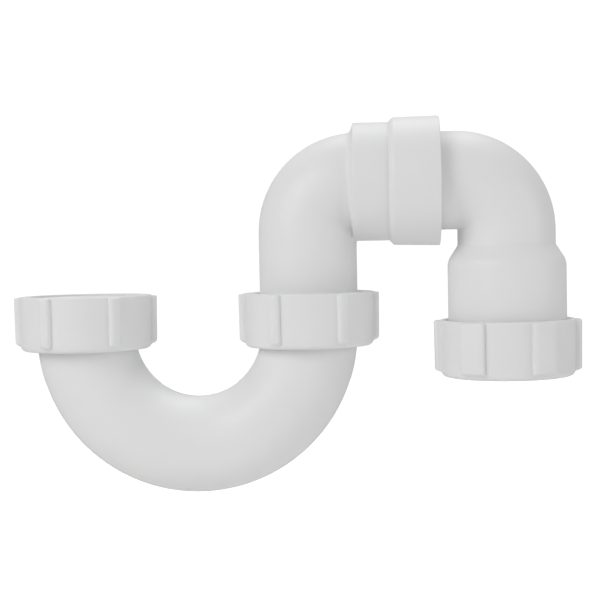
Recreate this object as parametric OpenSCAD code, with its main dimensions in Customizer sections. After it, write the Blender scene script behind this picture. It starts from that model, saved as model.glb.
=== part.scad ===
// Tubular swivel trap for a sink or bath waste, 40 mm (1 1/2 in) size.
// The origin is the seat of the inlet: the waste's tail bears there on a flat washer.
// +Z points up the inlet, +X runs from the inlet towards the outlet.

/* [Waterway] */
// Bore of the U-bend, the riser and the outlet bend
bore_d = 38; // [32:0.5:39]
// Centreline radius of the U-bend
bend_r = 49.3; // [45:0.1:60]
// Wall of the U-bend
bend_wall = 2.25; // [1.8:0.05:2.5]
// Wall of the riser and of the outlet bend
tube_wall = 2.5; // [2:0.1:3]
// Height of the swivel axis above the inlet seat
swivel_height = 64.9; // [60:0.1:85]
// Radius left at the inner corner of the two elbows
corner_r = 0.5; // [0.3:0.1:5]

/* [Inlet and union nuts] */
// Outside diameter of the thread that screws into the nuts
thread_d = 47.8; // [47.4:0.05:49]
// Depth of that thread
thread_depth = 1.48; // [1:0.02:1.6]
// Radial gap between the tips of one thread and the roots of its partner
thread_gap = 0.05; // [0.02:0.01:0.2]
// Height of a nut
nut_height = 23.6; // [21:0.1:30]
// Wall of a nut behind its thread, at the rim
nut_wall = 4.65; // [3:0.05:6]
// Radius that the wall loses from the rim to the foot
nut_draft = 0.25; // [0:0.05:0.6]
// Thickness of the floor that bears under the flange
nut_floor = 2.3; // [2:0.1:4]
// Rounding of the foot of a nut
nut_edge_r = 2.4; // [1:0.1:3.4]
// Gap between the floor of a nut and the flange
nut_play = 0.1; // [0.05:0.05:0.3]
// Gap between the hole in the floor and the bend that passes through it
nut_hole_gap = 0.3; // [0.2:0.05:0.5]
// Ribs round a nut
rib_count = 6; // [4:1:12]
// Height of a rib at the rim
rib_height = 2.35; // [1:0.05:4]
// Width of a rib
rib_width = 5.2; // [3:0.1:8]
// Bare height above the ribs
rib_top_gap = 0.4; // [0.3:0.1:3]
// Bare height below the ribs
rib_foot_gap = 1.9; // [1.5:0.1:6]
// Angle of the first rib of the inlet nut
inlet_nut_phase = -53; // [-180:1:180]
// Angle of the first rib of the union nut
union_nut_phase = -57; // [-180:1:180]
// Thickness of the flange at each end of the U-bend
flange_t = 2.2; // [1.8:0.1:4]
// Radial gap between the flange and the relief in the nut
flange_gap = 0.35; // [0.3:0.05:0.6]
// Thickness of the flat sealing washers
washer_t = 2; // [1.5:0.1:4]
// Width of the ring of a flat washer, from its hole to its edge
washer_ring = 4.3; // [3.5:0.1:4.6]

/* [Riser] */
// Threaded length of the tail of the riser
tail_len = 15.4; // [12:0.1:16]

/* [Swivel joint] */
// Length by which the collar starts before the end of the elbow
collar_lead = 2.5; // [1:0.1:5]
// Length of the collar that stays bare
collar_len = 16.5; // [14:0.1:25]
// Length of the bevel at the rear edge of the collar
collar_bevel = 1.2; // [0.6:0.1:2]
// Length of the snap cap
cap_len = 22.2; // [20:0.1:35]
// Wall of the snap cap at its rear edge
cap_wall = 2.55; // [1.8:0.05:3]
// Radius that the snap cap gains towards its front
cap_flare = 0.45; // [0:0.05:1]
// Length of the bevel at the rear edge of the snap cap
cap_bevel = 2; // [1:0.1:4]
// Thickness of the front wall of the snap cap
cap_front_t = 3.2; // [2:0.1:5]
// Radial gap between the snap cap and the socket
cap_fit = 0.05; // [0.03:0.01:0.1]
// Step from the collar down to the land that carries the cap
land_step = 0.53; // [0.3:0.01:1.5]
// Wall of the socket round the seal
socket_wall = 2; // [1.6:0.1:3]
// Depth of the snap groove and of the ridge in it
snap_depth = 0.45; // [0.3:0.05:0.6]
// Width of the snap groove
snap_width = 3; // [2:0.1:4]
// Radial thickness of the swivel seal
seal_section = 1.8; // [1.4:0.05:2.5]
// Length of the swivel seal
seal_len = 5.8; // [4:0.1:7]
// Running clearance of the spigot in its guide and in the seal
spigot_fit = 0.06; // [0.02:0.01:0.1]
// Thickness of the retaining bead on the spigot
bead_t = 3; // [2:0.1:4]
// Clearance round the retaining bead
bead_gap = 0.3; // [0.3:0.05:0.6]
// Bare length of spigot between the cap and the outlet elbow
neck_len = 7.2; // [4:0.1:20]

/* [Outlet] */
// Outside diameter of the waste pipe that the outlet takes
pipe_d = 43; // [41:0.1:43.5]
// Radial gap between the pipe and its socket
pipe_gap = 0.5; // [0.3:0.05:0.8]
// Straight length between the outlet elbow and the flare
leg_len = 6.6; // [2:0.1:30]
// Angle between the flare and the axis of the leg
flare_angle = 33; // [25:1:50]
// Rounding between the flare and the socket
flare_round = 8; // [2:0.5:10]
// Wall of the pipe socket
pipe_socket_wall = 4.05; // [3.6:0.05:5]
// Length of the pipe socket below the flare
pipe_socket_len = 40.6; // [32:0.1:60]
// Height of the thread on the pipe socket
ridge_h = 1.4; // [1:0.05:2]
// Height of the outlet nut
outlet_nut_height = 25.1; // [20:0.1:30]
// Wall of the outlet nut behind its thread, at the rim
outlet_nut_wall = 2.2; // [1.6:0.05:4]
// Thickness of the floor of the outlet nut
outlet_nut_floor = 3.4; // [2.5:0.1:4.5]
// Rounding of the foot of the outlet nut
outlet_nut_edge_r = 3; // [1:0.1:3.4]
// Raised grip pads round the outlet nut
pad_count = 6; // [4:1:9]
// Height of a grip pad at the rim
pad_height = 2.7; // [1:0.05:4]
// Angle that a grip pad covers
pad_angle = 21; // [12:1:34]
// Angle of the first grip pad
outlet_nut_phase = -64.5; // [-180:0.5:180]
// Length of the base of the outlet seal
seal_base_t = 2.5; // [1.5:0.1:4]
// Length of the tapered nose of the outlet seal
seal_nose_len = 4.4; // [3:0.1:6]
// Taper of the nose, against the axis
seal_taper = 22; // [15:1:25]
// Thickness of the nose of the outlet seal at its tip
seal_tip_t = 0.9; // [0.6:0.05:1.2]
// Gap between the outlet seal and the mouth of the socket
seal_gap = 0.35; // [0.3:0.05:0.6]
// Thickness of the slip ring under the seal
slip_ring_t = 1.5; // [1:0.1:3]

/* [Hidden] */
$fn = 96;
arc_steps = 6;
edge_break = 0.6;             // small chamfers and edge roundings
thread_relief = 0.25;         // relief behind the flange and the washer

white_pp = [0.93, 0.93, 0.92];
black_rubber = [0.12, 0.12, 0.13];
natural_pe = [0.85, 0.86, 0.84];

// Waterway
bore_r = bore_d / 2;
bend_or = bore_r + bend_wall;
tube_r = bore_r + tube_wall;
elbow_r = tube_r + corner_r;
riser_x = 2 * bend_r;
reach = riser_x + swivel_height;   // long enough to cut right through

// Nuts, flanges and washers, as heights from the seat
thread_tip_r = thread_d / 2;
thread_foot_r = thread_tip_r - thread_depth;
nut_root_r = thread_tip_r + thread_gap;
nut_or = nut_root_r + nut_wall;
flange_r = nut_root_r - flange_gap;
flange_top = -washer_t;
floor_top = flange_top - flange_t - nut_play;
nut_bottom = floor_top - nut_floor;
nut_top = nut_bottom + nut_height;
// The bend is already curving where it passes through the floor of the nut
bend_drop = sqrt(bend_r * bend_r - nut_bottom * nut_bottom);
nut_hole_r = bend_r - bend_drop + bend_or * bend_r / bend_drop + nut_hole_gap;
washer_ir = flange_r - washer_ring;

// Swivel joint, as distances from the riser's axis
collar_start = elbow_r - collar_lead;
cap_start = collar_start + collar_len;
cap_end = cap_start + cap_len;
cap_face = cap_end - cap_front_t;
socket_end = cap_face - bead_gap;
bead_end = cap_face - bead_gap - bead_gap / 3;
bead_start = bead_end - bead_t;
chamber_start = bead_start - 3 * seal_len / 2;
guide_start = elbow_r + 4 * corner_r + bore_r / 3;
spigot_start = guide_start + pipe_gap;
guide_r = tube_r + spigot_fit;
chamber_r = tube_r + seal_section;
land_r = chamber_r + socket_wall;
collar_r = land_r + land_step;
cap_ir = land_r + cap_fit;
cap_or = cap_ir + cap_wall;
snap_mid = (cap_start + socket_end) / 2;
spigot_end = cap_end + neck_len;
leg_x = spigot_end + elbow_r;
outlet_x = riser_x + leg_x;

// Outlet, as depths below the swivel axis
pipe_bore_r = pipe_d / 2 + pipe_gap;
pipe_socket_r = pipe_bore_r + pipe_socket_wall;
flare_start = elbow_r + leg_len;
flare_cone_r = pipe_socket_r - flare_round * (1 - cos(flare_angle));
flare_cone_end = flare_start + (flare_cone_r - tube_r) / tan(flare_angle);
flare_end = flare_cone_end + flare_round * sin(flare_angle);
pipe_stop = flare_end - tube_wall / 2;
pipe_socket_end = flare_end + pipe_socket_len;
seal_shoulder = pipe_socket_end + seal_gap;
seal_bottom = seal_shoulder + seal_base_t;
ring_bottom = seal_bottom + slip_ring_t;
outlet_nut_bottom = ring_bottom + outlet_nut_floor;
outlet_nut_top = outlet_nut_bottom - outlet_nut_height;
seal_ir = pipe_bore_r + thread_gap;
seal_tip_r = seal_ir + seal_tip_t;
seal_nose_r = seal_tip_r + seal_nose_len * tan(seal_taper);
mouth_r = seal_nose_r - seal_gap * tan(seal_taper) + seal_gap / cos(seal_taper);
mouth_top = pipe_socket_end - (mouth_r - pipe_bore_r) / tan(seal_taper);
outlet_root_r = pipe_socket_r + ridge_h + 3 * thread_gap;
outlet_nut_or = outlet_root_r + outlet_nut_wall;

// Points along an arc, from angle a to angle b
function arc_points(centre_r, centre_z, r, a, b) =
    [for (i = [0:arc_steps]) let (t = a + (b - a) * i / arc_steps)
        [centre_r + r * cos(t), centre_z + r * sin(t)]];

// Puts finished shapes where they belong: their origin is where the riser's axis meets the swivel axis
module at_swivel() {
    translate([riser_x, 0, swivel_height]) children();
}

// Turns a shape that is drawn along +Z onto the swivel axis, pointing to the outlet
module on_swivel() {
    rotate([0, 90, 0]) children();
}

// Turns a shape that is drawn along +Z onto the outlet leg, pointing down
module on_leg() {
    translate([leg_x, 0, 0]) mirror([0, 0, 1]) children();
}

// A short core across the joint of an elbow and a straight length, so that they overlap there
module joint_core(r, place) {
    translate([0, 0, place - corner_r]) cylinder(h = 2 * corner_r, r = r);
}

// The elbow between the riser and the swivel axis, with a core of its own radius across each joint
module riser_elbow(r, core_r) {
    translate([elbow_r, 0, -elbow_r]) mirror([1, 0, 0]) quarter_bend(r);
    joint_core(core_r, -elbow_r);
    on_swivel() joint_core(core_r, elbow_r);
}

// The elbow between the swivel axis and the outlet leg, made the same way
module outlet_elbow(r, core_r) {
    translate([spigot_end, 0, -elbow_r]) quarter_bend(r);
    on_swivel() joint_core(core_r, spigot_end);
    on_leg() joint_core(core_r, elbow_r);
}

// A quarter torus from straight up to sideways, centred at the origin
module quarter_bend(r) {
    rotate([90, 0, 0]) rotate_extrude(angle = 90) translate([elbow_r, 0]) circle(r);
}

// A plain ring between two heights
module ring(inner_r, outer_r, z0, z1) {
    rotate_extrude() translate([inner_r, z0]) square([outer_r - inner_r, z1 - z0]);
}

// Half a torus that hangs between the inlet and the riser
module half_bend(r) {
    translate([bend_r, 0, 0]) rotate([-90, 0, 0]) rotate_extrude(angle = 180)
        translate([bend_r, 0]) circle(r);
}

// One flange of the U-bend, with its edge broken
module flange() {
    rotate_extrude() polygon([
        [bore_r, flange_top],
        [flange_r - edge_break, flange_top],
        [flange_r, flange_top - edge_break],
        [flange_r, flange_top - flange_t],
        [bore_r, flange_top - flange_t]]);
}

module u_bend() {
    color(white_pp) difference() {
        union() {
            half_bend(bend_or);
            flange();
            translate([riser_x, 0, 0]) flange();
        }
        half_bend(bore_r);
        translate([-reach, -reach, flange_top]) cube([2 * reach + riser_x, 2 * reach, reach]);
    }
}

// Shell of a nut: a floor with a hole, a wall with draft and a rim that is open at the top
module nut_shell(hole_r, floor_z, root_r, rim_r, bottom, top, relief_top, foot_edge_r) {
    foot_r = rim_r - nut_draft;
    rotate_extrude() polygon(concat(
        [[hole_r, bottom]],
        arc_points(foot_r - foot_edge_r, bottom + foot_edge_r, foot_edge_r, -90, 0),
        arc_points(rim_r - edge_break, top - edge_break, edge_break, 0, 90),
        [[root_r + edge_break, top],
         [root_r, top - edge_break],
         [root_r, relief_top],
         [root_r + thread_relief, relief_top - thread_relief],
         [root_r + thread_relief, floor_z],
         [hole_r, floor_z]]));
}

// Band that the ribs or pads are cut from, rounded at its foot and eased at its top
module grip_band(inner_r, rim_r, height, z0, z1) {
    outer_r = rim_r + height;
    rotate_extrude() polygon(concat(
        [[inner_r, z0]],
        arc_points(outer_r - nut_draft - height, z0 + height, height, -90, 0),
        arc_points(outer_r - edge_break, z1 - edge_break, edge_break, 0, 90),
        [[inner_r, z1]]));
}

// Plan of one rib: a bar with its outer corners rounded
module rib_plan(outer_r) {
    round_r = rib_width / 4;
    translate([0, -rib_width / 2]) square([outer_r - round_r, rib_width]);
    translate([0, -rib_width / 2 + round_r]) square([outer_r, rib_width - 2 * round_r]);
    for (side = [-1, 1])
        translate([outer_r - round_r, side * (rib_width / 2 - round_r)]) circle(round_r, $fn = 48);
}

// Nut for the inlet and for the union: it hangs on the flange, open side up
module ribbed_nut(phase) {
    band_ir = nut_root_r + nut_wall / 2;
    nut_shell(nut_hole_r, floor_top, nut_root_r, nut_or, nut_bottom, nut_top, 0, nut_edge_r);
    intersection() {
        grip_band(band_ir, nut_or, rib_height, nut_bottom + rib_foot_gap, nut_top - rib_top_gap);
        for (i = [0:rib_count - 1]) rotate([0, 0, phase + i * 360 / rib_count])
            translate([0, 0, nut_bottom]) linear_extrude(nut_height) rib_plan(nut_or + rib_height);
    }
}

module inlet_nut() {
    color(white_pp) ribbed_nut(inlet_nut_phase);
}

module union_nut() {
    color(white_pp) translate([riser_x, 0, 0]) ribbed_nut(union_nut_phase);
}

module inlet_washer() {
    color(black_rubber) ring(washer_ir, flange_r, flange_top, 0);
}

module union_washer() {
    color(black_rubber) translate([riser_x, 0, 0]) ring(washer_ir, flange_r, flange_top, 0);
}

// Tail and riser from outside, up to the elbow
module riser_outside() {
    foot = -swivel_height;
    shoulder = foot + tail_len + 2 * (thread_foot_r - tube_r);
    rotate_extrude() polygon([
        [0, foot],
        [thread_foot_r - edge_break, foot],
        [thread_foot_r, foot + edge_break],
        [thread_foot_r, foot + tail_len],
        [tube_r, shoulder],
        [tube_r, -elbow_r],
        [0, -elbow_r]]);
}

// Collar, and the land with its snap groove that carries the cap
module socket_outside() {
    rotate_extrude() polygon([
        [0, collar_start],
        [tube_r + (collar_r - tube_r) / 4, collar_start],
        [collar_r, collar_start + collar_bevel],
        [collar_r, cap_start],
        [land_r, cap_start],
        [land_r, snap_mid - snap_width / 2],
        [land_r - snap_depth, snap_mid - snap_width / 2 + snap_depth],
        [land_r - snap_depth, snap_mid + snap_width / 2],
        [land_r, snap_mid + snap_width / 2],
        [land_r, socket_end - edge_break],
        [land_r - edge_break, socket_end],
        [0, socket_end]]);
}

// Bore, guide and seal chamber of the swivel socket
module socket_inside() {
    rotate_extrude() polygon([
        [0, elbow_r],
        [bore_r, elbow_r],
        [bore_r, guide_start],
        [guide_r, guide_start],
        [guide_r, chamber_start],
        [chamber_r, chamber_start],
        [chamber_r, reach],
        [0, reach]]);
}

module riser_bend() {
    color(white_pp) at_swivel() difference() {
        union() {
            riser_outside();
            riser_elbow(tube_r, bore_r + tube_wall / 2);
            on_swivel() socket_outside();
        }
        translate([0, 0, -reach]) cylinder(h = reach - elbow_r, r = bore_r);
        riser_elbow(bore_r, bore_r - tube_wall / 2);
        on_swivel() socket_inside();
    }
}

// Lip seal that the spigot turns in
module swivel_seal() {
    lip = seal_section / 3;
    color(black_rubber) at_swivel() on_swivel() rotate_extrude() polygon([
        [guide_r, chamber_start + lip],
        [guide_r + lip, chamber_start],
        [chamber_r - cap_fit, chamber_start],
        [chamber_r - cap_fit, chamber_start + seal_len],
        [guide_r + lip, chamber_start + seal_len],
        [guide_r, chamber_start + seal_len - lip]]);
}

// Cap that snaps over the socket and holds the bead in
module swivel_cap() {
    ridge_start = snap_mid - snap_width / 2 + snap_depth + 2 * cap_fit;
    ridge_end = snap_mid + snap_width / 2 - 2 * cap_fit;
    color(white_pp) at_swivel() on_swivel() rotate_extrude() polygon(concat(
        [[cap_ir, cap_start],
         [collar_r, cap_start],
         [cap_or, cap_start + cap_bevel]],
        arc_points(cap_or + cap_flare - edge_break, cap_end - edge_break, edge_break, 0, 90),
        [[tube_r + bead_gap + edge_break, cap_end],
         [tube_r + bead_gap, cap_end - edge_break],
         [tube_r + bead_gap, cap_face],
         [cap_ir, cap_face],
         [cap_ir, ridge_end],
         [cap_ir - snap_depth, ridge_end],
         [cap_ir - snap_depth, ridge_start],
         [cap_ir, ridge_start - snap_depth]]));
}

// Spigot with its retaining bead, up to the outlet elbow
module spigot_outside() {
    bead_r = chamber_r - bead_gap;
    rotate_extrude() polygon([
        [0, spigot_start],
        [tube_r - edge_break, spigot_start],
        [tube_r, spigot_start + edge_break],
        [tube_r, bead_start],
        [bead_r - edge_break, bead_start],
        [bead_r, bead_start + edge_break],
        [bead_r, bead_end],
        [tube_r, bead_end],
        [tube_r, spigot_end],
        [0, spigot_end]]);
}

// Leg, flare and pipe socket, drawn along the depth below the swivel axis
module leg_outside() {
    rotate_extrude() polygon(concat(
        [[0, elbow_r],
         [tube_r, elbow_r],
         [tube_r, flare_start]],
        arc_points(pipe_socket_r - flare_round, flare_end, flare_round, -flare_angle, 0),
        [[pipe_socket_r, pipe_socket_end],
         [0, pipe_socket_end]]));
}

// Bore of the leg, the pipe's stop, its socket and the tapered mouth
module leg_inside() {
    rotate_extrude() polygon([
        [0, elbow_r],
        [bore_r, elbow_r],
        [bore_r, pipe_stop],
        [pipe_bore_r, pipe_stop],
        [pipe_bore_r, mouth_top],
        [mouth_r, pipe_socket_end],
        [mouth_r, reach],
        [0, reach]]);
}

module outlet_bend() {
    color(white_pp) at_swivel() difference() {
        union() {
            on_swivel() spigot_outside();
            outlet_elbow(tube_r, bore_r + tube_wall / 2);
            on_leg() leg_outside();
        }
        on_swivel() cylinder(h = spigot_end, r = bore_r);
        outlet_elbow(bore_r, bore_r - tube_wall / 2);
        on_leg() leg_inside();
    }
}

// Plan of the grip pads: a disc less the slots between the pads
module pad_plan(outer_r) {
    slot_angle = 360 / pad_count - pad_angle;
    difference() {
        circle(outer_r);
        for (i = [0:pad_count - 1])
            rotate(outlet_nut_phase + (i + 0.5) * 360 / pad_count)
                polygon([[0, 0],
                         reach * [cos(slot_angle / 2), -sin(slot_angle / 2)],
                         reach * [cos(slot_angle / 2), sin(slot_angle / 2)]]);
    }
}

module outlet_nut() {
    bottom = swivel_height - outlet_nut_bottom;
    top = swivel_height - outlet_nut_top;
    floor_z = bottom + outlet_nut_floor;
    band_ir = outlet_root_r + outlet_nut_wall / 2;
    color(white_pp) translate([outlet_x, 0, 0]) {
        nut_shell(pipe_bore_r + pipe_gap, floor_z, outlet_root_r, outlet_nut_or,
                  bottom, top, floor_z + slip_ring_t, outlet_nut_edge_r);
        intersection() {
            grip_band(band_ir, outlet_nut_or, pad_height, bottom + rib_foot_gap, top - rib_top_gap);
            translate([0, 0, bottom]) linear_extrude(outlet_nut_height)
                pad_plan(outlet_nut_or + 2 * pad_height);
        }
    }
}

module outlet_slip_ring() {
    color(natural_pe) at_swivel() on_leg()
        ring(seal_ir + thread_gap, outlet_root_r - flange_gap, seal_bottom, ring_bottom);
}

// Rubber ring whose tapered nose is pushed into the mouth of the socket
module outlet_seal() {
    color(black_rubber) at_swivel() on_leg() rotate_extrude() polygon([
        [seal_ir, seal_shoulder - seal_nose_len],
        [seal_tip_r, seal_shoulder - seal_nose_len],
        [seal_nose_r, seal_shoulder],
        [pipe_socket_r, seal_shoulder],
        [pipe_socket_r, seal_bottom],
        [seal_ir, seal_bottom]]);
}

u_bend();
inlet_nut();
inlet_washer();
union_nut();
union_washer();
riser_bend();
swivel_seal();
swivel_cap();
outlet_bend();
outlet_nut();
outlet_slip_ring();
outlet_seal();
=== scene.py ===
import bpy
import math
import numpy as np
from mathutils import Matrix, Vector


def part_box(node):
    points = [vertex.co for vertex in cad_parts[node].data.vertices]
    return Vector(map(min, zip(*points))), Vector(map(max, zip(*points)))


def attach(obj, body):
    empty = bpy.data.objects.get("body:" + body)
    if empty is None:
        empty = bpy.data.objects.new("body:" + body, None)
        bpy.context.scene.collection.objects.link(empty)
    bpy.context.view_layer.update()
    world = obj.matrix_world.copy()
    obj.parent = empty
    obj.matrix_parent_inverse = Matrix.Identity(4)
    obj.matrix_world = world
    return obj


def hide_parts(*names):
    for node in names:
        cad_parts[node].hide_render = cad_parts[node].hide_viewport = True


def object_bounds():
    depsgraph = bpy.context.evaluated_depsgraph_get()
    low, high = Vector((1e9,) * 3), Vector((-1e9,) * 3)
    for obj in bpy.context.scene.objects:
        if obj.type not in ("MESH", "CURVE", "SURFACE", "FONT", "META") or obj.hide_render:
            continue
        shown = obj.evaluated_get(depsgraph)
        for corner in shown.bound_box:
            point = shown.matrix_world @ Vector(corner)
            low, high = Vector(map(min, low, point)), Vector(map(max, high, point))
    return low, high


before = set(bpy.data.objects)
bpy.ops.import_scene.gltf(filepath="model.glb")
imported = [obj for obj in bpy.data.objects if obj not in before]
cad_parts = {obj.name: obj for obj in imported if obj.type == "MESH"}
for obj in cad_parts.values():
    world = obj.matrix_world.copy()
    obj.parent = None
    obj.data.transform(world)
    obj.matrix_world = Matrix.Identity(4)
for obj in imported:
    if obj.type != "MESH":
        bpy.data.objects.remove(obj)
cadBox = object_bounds()

mm = 0.001  # shapes are worked out in millimetres, meshes are in metres
tau = 2 * math.pi
quarterTurn = math.pi / 2


# Where things are, in millimetres, read from the frame

def nodeBox(node):
    # Lowest and highest corner of a node's box.
    low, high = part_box(node)
    return np.array(low) / mm, np.array(high) / mm


def centreOf(node, axis):
    # Halfway between the two ends of a node's box.
    low, high = nodeBox(node)
    return (low[axis] + high[axis]) / 2


def ringRadius(node):
    # Half the width of the box of a ring that lies level.
    low, high = nodeBox(node)
    return (high[0] - low[0]) / 2


def makePlan():
    # Axes, ends and radii that pieces share. An end on the swivel axis is an X, a height is a Z, and a
    # radius is how far a box reaches from the axis of its piece.
    bendLow, bendHigh = nodeBox("u_bend")
    riserLow, riserHigh = nodeBox("riser_bend")
    capLow, capHigh = nodeBox("swivel_cap")
    sealLow, sealHigh = nodeBox("swivel_seal")
    legLow, legHigh = nodeBox("outlet_bend")
    riserX, outletX = centreOf("union_washer", 0), centreOf("outlet_slip_ring", 0)
    return {"riserX": riserX, "outletX": outletX, "swivelZ": centreOf("swivel_seal", 2),
            "bendR": riserX / 2, "bendOuterR": -bendLow[2] - riserX / 2,
            "flangeR": bendHigh[1], "flangeTop": bendHigh[2],
            "tailR": riserX - riserLow[0], "collarR": riserHigh[1], "socketEnd": riserHigh[0],
            "sealStart": sealLow[0], "sealR": sealHigh[1],
            "capStart": capLow[0], "capEnd": capHigh[0], "capFrontR": capHigh[1],
            "spigotStart": legLow[0], "pipeSocketR": legHigh[0] - outletX, "pipeSocketEnd": legLow[2]}


plan = makePlan()

# Walls, clearances and roundings that the boxes do not give
walls = {"bend": 2.25, "tube": 2.5, "corner": 0.5, "edge": 0.6, "ease": 0.3,
         "spigotGap": 0.06, "sealGap": 0.05}
tubeR = 21.5  # outside radius of the pipework, the same as the waste pipe's
boreR = tubeR - walls["tube"]
elbowR = tubeR + walls["corner"]  # radius of an elbow's centre line
elbowTravel = elbowR * quarterTurn  # length of an elbow along its centre line
print("plan: riser axis", round(float(plan["riserX"]), 2), "swivel axis", round(float(plan["swivelZ"]), 2),
      "outlet axis", round(float(plan["outletX"]), 2))


# Numbers and curves

crest = 1.6  # the larger it is, the flatter the tops of the threads are


def smooth(x):
    # Zero below 0, one above 1, and 3x^2 - 2x^3 between them.
    x = np.clip(x, 0, 1)
    return x * x * (3 - 2 * x)


def toothWave(turns, width):
    # Height of a rounded thread ridge, 0 to 1: a cosine over each turn, cut off below the width and
    # flattened at its crest.
    return smooth((np.cos(tau * turns) - width) / (1 - width) * crest)


def filleted(corners, steps=4):
    # A closed outline from (a, b, radius) corners. Each corner is an arc tangent to its two sides: it
    # starts radius / tan(half the angle) from the corner, and its centre is radius / sin(half the angle)
    # away.
    out = []
    for i, (a, b, radius) in enumerate(corners):
        here = np.array([a, b], float)
        if radius <= 0:
            out.append(here[None])
            continue
        before = np.array(corners[i - 1][:2], float) - here
        after = np.array(corners[(i + 1) % len(corners)][:2], float) - here
        lengthBefore, lengthAfter = np.linalg.norm(before), np.linalg.norm(after)
        before, after = before / lengthBefore, after / lengthAfter
        half = math.acos(np.clip(before @ after, -1, 1)) / 2
        reach = min(radius / math.tan(half), 0.48 * lengthBefore, 0.48 * lengthAfter)  # arcs never meet
        radius = reach * math.tan(half)
        middle = here + (before + after) / np.linalg.norm(before + after) * radius / math.sin(half)
        start, end = here + before * reach - middle, here + after * reach - middle
        angle = math.atan2(start[0] * end[1] - start[1] * end[0], start @ end)
        turn = math.atan2(start[1], start[0]) + angle * np.linspace(0, 1, steps + 1)
        out.append(middle + radius * np.stack([np.cos(turn), np.sin(turn)], 1))
    return np.concatenate(out)


def evenAngles(count):
    # One row of angles round a circle.
    return np.linspace(0, tau, count, endpoint=False)[None]


def aroundAxis(radii, heights, angles, axisX):
    # Points round a vertical axis: x = axis + radius cos(angle), y = radius sin(angle). Rows share a
    # height, or each point has its own.
    heights = np.broadcast_to(np.reshape(heights, (len(radii), -1)), radii.shape)
    return np.stack([axisX + radii * np.cos(angles), radii * np.sin(angles), heights], 2)


def alongSwivel(radii, distances, angles):
    # The same round the swivel axis, which points along +X. Angle 0 is the lowest point.
    distances = np.broadcast_to(np.reshape(distances, (len(radii), -1)), radii.shape)
    return np.stack([distances, radii * np.sin(angles), plan["swivelZ"] - radii * np.cos(angles)], 2)


def elbowPoints(radius, travel, angles, cornerX, turnsDown=False):
    # A tube that runs straight, then turns a quarter round a corner. Travel is the distance along its
    # centre line from the corner's first end, negative on the straight, and the turn is travel / elbow
    # radius. Angle 0 is the side next to the corner. It climbs and then turns to +X, or comes along +X
    # and then turns down.
    turn = np.clip(travel / elbowR, 0, quarterTurn)
    before = np.minimum(travel, 0)
    after = np.maximum(travel - elbowTravel, 0)
    reach = elbowR - radius * np.cos(angles)
    side = np.broadcast_to(radius * np.sin(angles), reach.shape)
    cornerZ = plan["swivelZ"] - elbowR
    if turnsDown:
        x = cornerX + reach * np.sin(turn) + before
        z = cornerZ + reach * np.cos(turn) - after
    else:
        x = cornerX - reach * np.cos(turn) + after
        z = cornerZ + reach * np.sin(turn) + before
    return np.stack(np.broadcast_arrays(x, side, z), 2)


# Meshes

def meshOf(name, rows, body, node, material, sharpAngle=32):
    # A closed skin over rows of points: each row is a loop and joins the next one, and the last row joins
    # the first. The sum of the corners' triple products has the sign of the volume, and says which way
    # faces point.
    count, around = rows.shape[:2]
    index = np.arange(count * around).reshape(count, around)
    down, right = np.roll(index, -1, 0), np.roll(index, -1, 1)
    faces = np.stack([index, right, np.roll(down, -1, 1), down], 2).reshape(-1, 4)
    points = rows.reshape(-1, 3) * mm
    a, b, c, d = (points[faces[:, k]] for k in range(4))
    volume = np.einsum("ij,ij->", a, np.cross(b, c)) + np.einsum("ij,ij->", a, np.cross(c, d))
    if volume < 0:
        faces = faces[:, ::-1]
    mesh = bpy.data.meshes.new(name)
    mesh.from_pydata(points, [], faces)
    mesh.polygons.foreach_set("use_smooth", np.ones(len(faces), bool))
    mesh.set_sharp_from_angle(angle=math.radians(sharpAngle))
    mesh.validate()
    piece = bpy.data.objects.new(name, mesh)
    bpy.context.scene.collection.objects.link(piece)
    piece.data.materials.append(material)
    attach(piece, body)
    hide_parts(node)
    print("  ", name, len(faces) * 2, "triangles")
    return piece


# Materials

polypropylene = {"colour": (0.855, 0.862, 0.858), "patch": (0.832, 0.840, 0.835), "patchScale": 28,
                 "patchDetail": 3, "patchRough": 0.5, "roughLow": 0.40, "roughHigh": 0.52, "ior": 1.49,
                 "waveScale": 60, "wave": 0.10, "waveDepth": 0.0006,
                 "grainScale": 2600, "grain": 0.05, "grainDepth": 0.0001,
                 "through": 0.12, "throughColour": (1, 0.98, 0.95), "throughDepth": 0.0018}
nutPolypropylene = {**polypropylene, "patchScale": 45, "wave": 0.07}
polyethylene = {**polypropylene, "colour": (0.74, 0.75, 0.71), "patch": (0.68, 0.69, 0.65), "through": 0.3,
                "roughLow": 0.34, "roughHigh": 0.44}
rubber = {"colour": (0.022, 0.022, 0.024), "patch": (0.05, 0.05, 0.052), "patchScale": 90,
          "patchDetail": 4, "patchRough": 0.6, "roughLow": 0.55, "roughHigh": 0.75, "ior": 1.52,
          "grainScale": 1800, "grain": 0.15, "grainDepth": 0.0001}


def noiseFrom(tree, scale, detail, roughness=0.5):
    # Noise over Object coordinates, so that it stays on the piece when the piece moves.
    place = tree.nodes.new("ShaderNodeTexCoord")
    noise = tree.nodes.new("ShaderNodeTexNoise")
    noise.inputs["Scale"].default_value = scale
    noise.inputs["Detail"].default_value = detail
    noise.inputs["Roughness"].default_value = roughness
    tree.links.new(place.outputs["Object"], noise.inputs["Vector"])
    return noise.outputs["Fac"]


def spread(tree, source, low, high):
    # Maps a texture's middle range, 0.3 to 0.7, to low..high.
    ranged = tree.nodes.new("ShaderNodeMapRange")
    ranged.inputs["From Min"].default_value = 0.3
    ranged.inputs["From Max"].default_value = 0.7
    ranged.inputs["To Min"].default_value = low
    ranged.inputs["To Max"].default_value = high
    tree.links.new(source, ranged.inputs["Value"])
    return ranged.outputs["Result"]


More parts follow.
